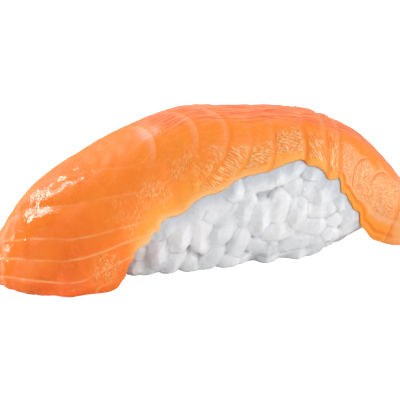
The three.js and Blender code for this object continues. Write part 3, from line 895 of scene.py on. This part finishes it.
# Hands press the block's sides, the slice presses its top, and the table its foot. Where the rice is open,
# faces are flattened from PRESS_DEPTH under the outline on, and then drawn out by up to PRESS_LIFT. They
# end up OPEN_PROUD + PRESS_LIFT past the outline at most, and those under the slice COVERED_PROUD.
OPEN_PROUD, COVERED_PROUD = -0.15 * MM, 0.3 * MM
PRESS_DEPTH, PRESS_LIFT = 0.8 * MM, 0.45 * MM
PROUD_GRAIN, PROUD_BY, PROUD_REACH = Vector((7.1, -5.4, 1.2)) * MM, 1.6 * MM, 2.4 * MM  # it is pressed less
OPEN_REACH = (0.6 * MM, 3.5 * MM)  # from the slice to where the rice is open
SAFE_WAY = 0.05 * MM  # from a face, past which the way from it can be told
PRESS_LIMIT = 1.6 * MM  # how deep in the slice a place may lie to be pressed out again
CLING_REACH = (1.0 * MM, 2.3 * MM)  # within which sticky rice is drawn up to the slice
CLING_GAP = 0.03  # millimetres left between the two
skin = [v.co for v in salmon.data.vertices]
under_corners = [p.vertices for p in salmon.data.polygons if not is_top[list(p.vertices)].any()]
underside = BVHTree.FromPolygons(skin, under_corners)
for vertex in rice.data.vertices:
    near, out, _, _ = outline_faces.find_nearest(vertex.co)
    way = vertex.co - near
    side = 1 if way.dot(out) > 0 else -1
    above = side * way.length + PRESS_DEPTH
    if above > 0:
        if way.length > SAFE_WAY:
            out = way.normalized() * side
        is_open = smooth_step(slice_faces.find_nearest(near)[3], *OPEN_REACH)
        room = blend(COVERED_PROUD, OPEN_PROUD, is_open) + PRESS_DEPTH * is_open
        room += PROUD_BY * math.exp(-(((vertex.co - PROUD_GRAIN).length / PROUD_REACH) ** 2))
        depth = blend(0, PRESS_DEPTH, is_open)
        if above > PRESS_DEPTH - depth:
            above -= PRESS_DEPTH - depth
            risen = PRESS_LIFT * is_open * (1 - math.exp(-above / room))
            vertex.co = near + out * (room * (1 - math.exp(-above / room)) - depth + risen)
    nearest, facing, _, gap = underside.find_nearest(vertex.co)
    if 0 < (nearest - vertex.co).dot(facing) and gap < PRESS_LIMIT:
        vertex.co = nearest + facing * CLING_GAP * MM
    elif gap < CLING_REACH[1]:
        left_over = max(smooth_step(gap, *CLING_REACH), CLING_GAP * MM / gap)
        vertex.co = nearest + (vertex.co - nearest) * left_over
    vertex.co.z = max(vertex.co.z, 0)
rice.data.update()

# Each grain is a little whiter or clearer than its neighbours. Painted shade darkens the hollows, the thin
# seams where two grains meet and the rice under the slice, and a painted highlight lightens the grains'
# rounded edges.
SEAM_WIDTH = 0.3 * MM
NEAR_BALLS = 9  # among which one of another grain is looked for
HOLLOW_ROUNDS = 4  # of averaging, against which hollows show
SHADE_REACH = (0.3, 3.2)  # millimetres from the slice
balls = three_balls()
ball_places = KDTree(len(balls))
for i, ball in enumerate(balls):
    ball_places.insert(ball * MM, i)
ball_places.balance()
tones = draw.uniform(0, 1, len(middles))
points = np.empty(len(rice.data.vertices) * 3)
rice.data.vertices.foreach_get("co", points)
points = points.reshape(-1, 3)
edges = np.array([e.vertices for e in rice.data.edges])
outwards = np.array([v.normal for v in rice.data.vertices])
around = points
for _ in range(HOLLOW_ROUNDS):
    total, count = np.zeros_like(points), np.zeros(len(points))
    for first, second in (edges.T, edges.T[::-1]):
        np.add.at(total, first, around[second])
        np.add.at(count, first, 1)
    around = total / count[:, None]
hollow = ((around - points) * outwards).sum(1) / MM
cover = np.array([slice_faces.find_nearest(v.co)[3] for v in rice.data.vertices]) / MM
under_slice = 1 - smooth_step(cover, *SHADE_REACH)
grain_tones, seams = [], []
for vertex in rice.data.vertices:
    found = ball_places.find_n(vertex.co, NEAR_BALLS)
    first = found[0][1] // 3
    other = next((ball[2] for ball in found if ball[1] // 3 != first), found[-1][2])
    grain_tones.append(tones[first])
    seams.append(math.exp(-(((other - found[0][2]) / SEAM_WIDTH) ** 2)))
for name, values in {
    "hollow": hollow,
    "under_slice": under_slice,
    "grain_tone": grain_tones,
    "seam": seams,
}.items():
    layer = rice.data.attributes.new(name, "FLOAT", "POINT")
    layer.data.foreach_set("value", values)

starch, node = new_material("rice_grains")
body = node("ShaderNodeTexCoord").outputs["Object"]
clear_white = srgb(220, 222, 224)
milk_white = srgb(236, 236, 237)
crease_shade_grey = srgb(184, 187, 191)
edge_highlight_white = srgb(245, 245, 245)
seam_shade_grey = srgb(184, 186, 190)
shade_blue = srgb(196, 202, 210)
MILK_CLOUDS, SEAM_GAPS, WETNESS, PITS, PORES = 220, 260, 400, 600, 2200  # the scales of their noises
CLOUD_SHARE, TONE_SHARE, PORE_SHARE = 0.4, 0.6, 0.4
SEAM_SHADE_STRENGTH, SHADE_STRENGTH = 0.5, 0.85
PIT_DEPTH, PIT_STRENGTH = 0.25 * MM, 0.7


def point_value(name):
    return node("ShaderNodeAttribute", attribute_name=name).outputs["Fac"]


clouded = product(ramp(noise(body, MILK_CLOUDS, 3), 0.3, 0.7), CLOUD_SHARE)
milky = maths("ADD", clouded, product(point_value("grain_tone"), TONE_SHARE))
colour = tint(milky, clear_white, milk_white)
crease = point_value("hollow")
# Painted shade in the hollows, and a painted highlight on the rounded edges.
colour = tint(ramp(crease, 0.05, 0.15, 0.0, 0.5), colour, crease_shade_grey)
colour = tint(ramp(crease, -0.03, -0.1, 0.0, 0.4), colour, edge_highlight_white)
broken = ramp(noise(body, SEAM_GAPS, 2), 0.4, 0.6)
# Painted shade along the seams where two grains meet.
seam = product(ramp(point_value("seam"), 0.3, 0.9), broken, SEAM_SHADE_STRENGTH)
colour = tint(seam, colour, seam_shade_grey)
colour = tint(product(point_value("under_slice"), SHADE_STRENGTH), colour, shade_blue)
pits = maths("ADD", noise(body, PITS, 3), product(noise(body, PORES, 2), PORE_SHARE))
bump = node("ShaderNodeBump", {"Height": pits, "Strength": PIT_STRENGTH, "Distance": PIT_DEPTH})
moist = node("ShaderNodeBsdfPrincipled", {
    "Base Color": colour,
    "Roughness": ramp(noise(body, WETNESS, 2), 0.3, 0.7, 0.2, 0.4),
    "IOR": 1.4,
    "Subsurface Weight": 0.6,
    "Subsurface Radius": (1.0, 1.0, 1.0),
    "Subsurface Scale": 1.6 * MM,
    "Normal": bump.outputs[0],
})
node("ShaderNodeOutputMaterial", {"Surface": moist.outputs[0]})
rice.data.materials.clear()
rice.data.materials.append(starch)
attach(rice, "root")
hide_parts("rice_block")

# ---- Floor, light and camera --------------------------------------------------------
# A plain white floor under soft studio light: large soft boxes in front, on the right and behind, narrow
# strips on the left that the wet flank mirrors, and an even white surround.

FLOOR_GLOW = 0.95  # only where the camera sees the floor, so that it stays white
SURROUND_LIGHT = 0.545  # of the surround as a light: where the camera sees it, it is white
bpy.ops.object.select_all(action="DESELECT")
bpy.ops.mesh.primitive_plane_add(size=3)
floor = bpy.context.object
floor.name = "floor"
paint, node = new_material("floor_white")
matt = node("ShaderNodeBsdfPrincipled", {
    "Base Color": (0.95, 0.95, 0.95, 1),
    "Roughness": 0.9,
    "Emission Color": (1, 1, 1, 1),
    "Emission Strength": product(node("ShaderNodeLightPath").outputs["Is Camera Ray"], FLOOR_GLOW),
})
node("ShaderNodeOutputMaterial", {"Surface": matt.outputs[0]})
floor.data.materials.append(paint)

surround = bpy.data.worlds.new("surround")
surround.use_nodes = True
sky_nodes, sky_links = surround.node_tree.nodes, surround.node_tree.links
seen = sky_nodes.new("ShaderNodeLightPath")
glow = sky_nodes.new("ShaderNodeMapRange")
glow.inputs["To Min"].default_value = SURROUND_LIGHT
glow.inputs["To Max"].default_value = 1.0
sky_links.new(seen.outputs["Is Camera Ray"], glow.inputs["Value"])
sky_links.new(glow.outputs["Result"], sky_nodes["Background"].inputs["Strength"])
sky_nodes["Background"].inputs["Color"].default_value = (1, 1, 1, 1)
bpy.context.scene.world = surround

# Soft boxes, all turned to the nigiri: the way to each, its width and height, and how bright it is.
SOFT_BOXES = {
    "left_strip": ((-0.63, 0.42, 0.65), 0.04, 0.28, 35),
    "left_far_strip": ((-0.507, 0.751, 0.46), 0.035, 0.2, 19),
    "left_low_strip": ((-0.751, 0.653, 0.1), 0.03, 0.05, 16),
    "front_box": ((0.54, -0.51, 0.67), 0.27, 0.31, 1.9),
    "right_box": ((0.81, -0.51, 0.28), 0.31, 0.23, 3.4),
    "back_box": ((0.1, 0.66, 0.74), 0.45, 0.2, 0.7),
}
BOX_DISTANCE = 0.5
LIT_PLACE = Vector((0, 0, 0.01))
for name, (direction, box_width, box_height, brightness) in SOFT_BOXES.items():
    lamp = bpy.data.lights.new(name, "AREA")
    lamp.shape = "RECTANGLE"
    lamp.size, lamp.size_y = box_width, box_height
    lamp.energy = brightness * box_width * box_height * math.pi
    box = bpy.data.objects.new(name, lamp)
    way = Vector(direction).normalized()
    box.location = LIT_PLACE + way * BOX_DISTANCE
    box.rotation_euler = way.to_track_quat("Z", "Y").to_euler()
    bpy.context.scene.collection.objects.link(box)

VIEW_TARGET = Vector((-3.68, 2.31, 9.8)) * MM
VIEW_AZIMUTH, VIEW_ELEVATION = math.radians(-12), math.radians(20)
VIEW_DISTANCE = 420 * MM
PICTURE_WIDTH, PIXELS_IN_MM = 400, 5.6  # the second one at the target
SEEN_WIDTH = PICTURE_WIDTH / PIXELS_IN_MM * MM
SENSOR_WIDTH, NEAREST_SEEN = 36, 0.01
camera_data = bpy.data.cameras.new("camera")
camera_data.sensor_width = SENSOR_WIDTH
camera_data.lens = SENSOR_WIDTH * VIEW_DISTANCE / SEEN_WIDTH
camera_data.clip_start = NEAREST_SEEN
camera = bpy.data.objects.new("camera", camera_data)
back = Vector((
    math.sin(VIEW_AZIMUTH) * math.cos(VIEW_ELEVATION),
    -math.cos(VIEW_AZIMUTH) * math.cos(VIEW_ELEVATION),
    math.sin(VIEW_ELEVATION),
))
camera.location = VIEW_TARGET + back * VIEW_DISTANCE
camera.rotation_euler = back.to_track_quat("Z", "Y").to_euler()
bpy.context.scene.collection.objects.link(camera)
bpy.context.scene.camera = camera
bpy.context.scene.view_settings.view_transform = "Standard"
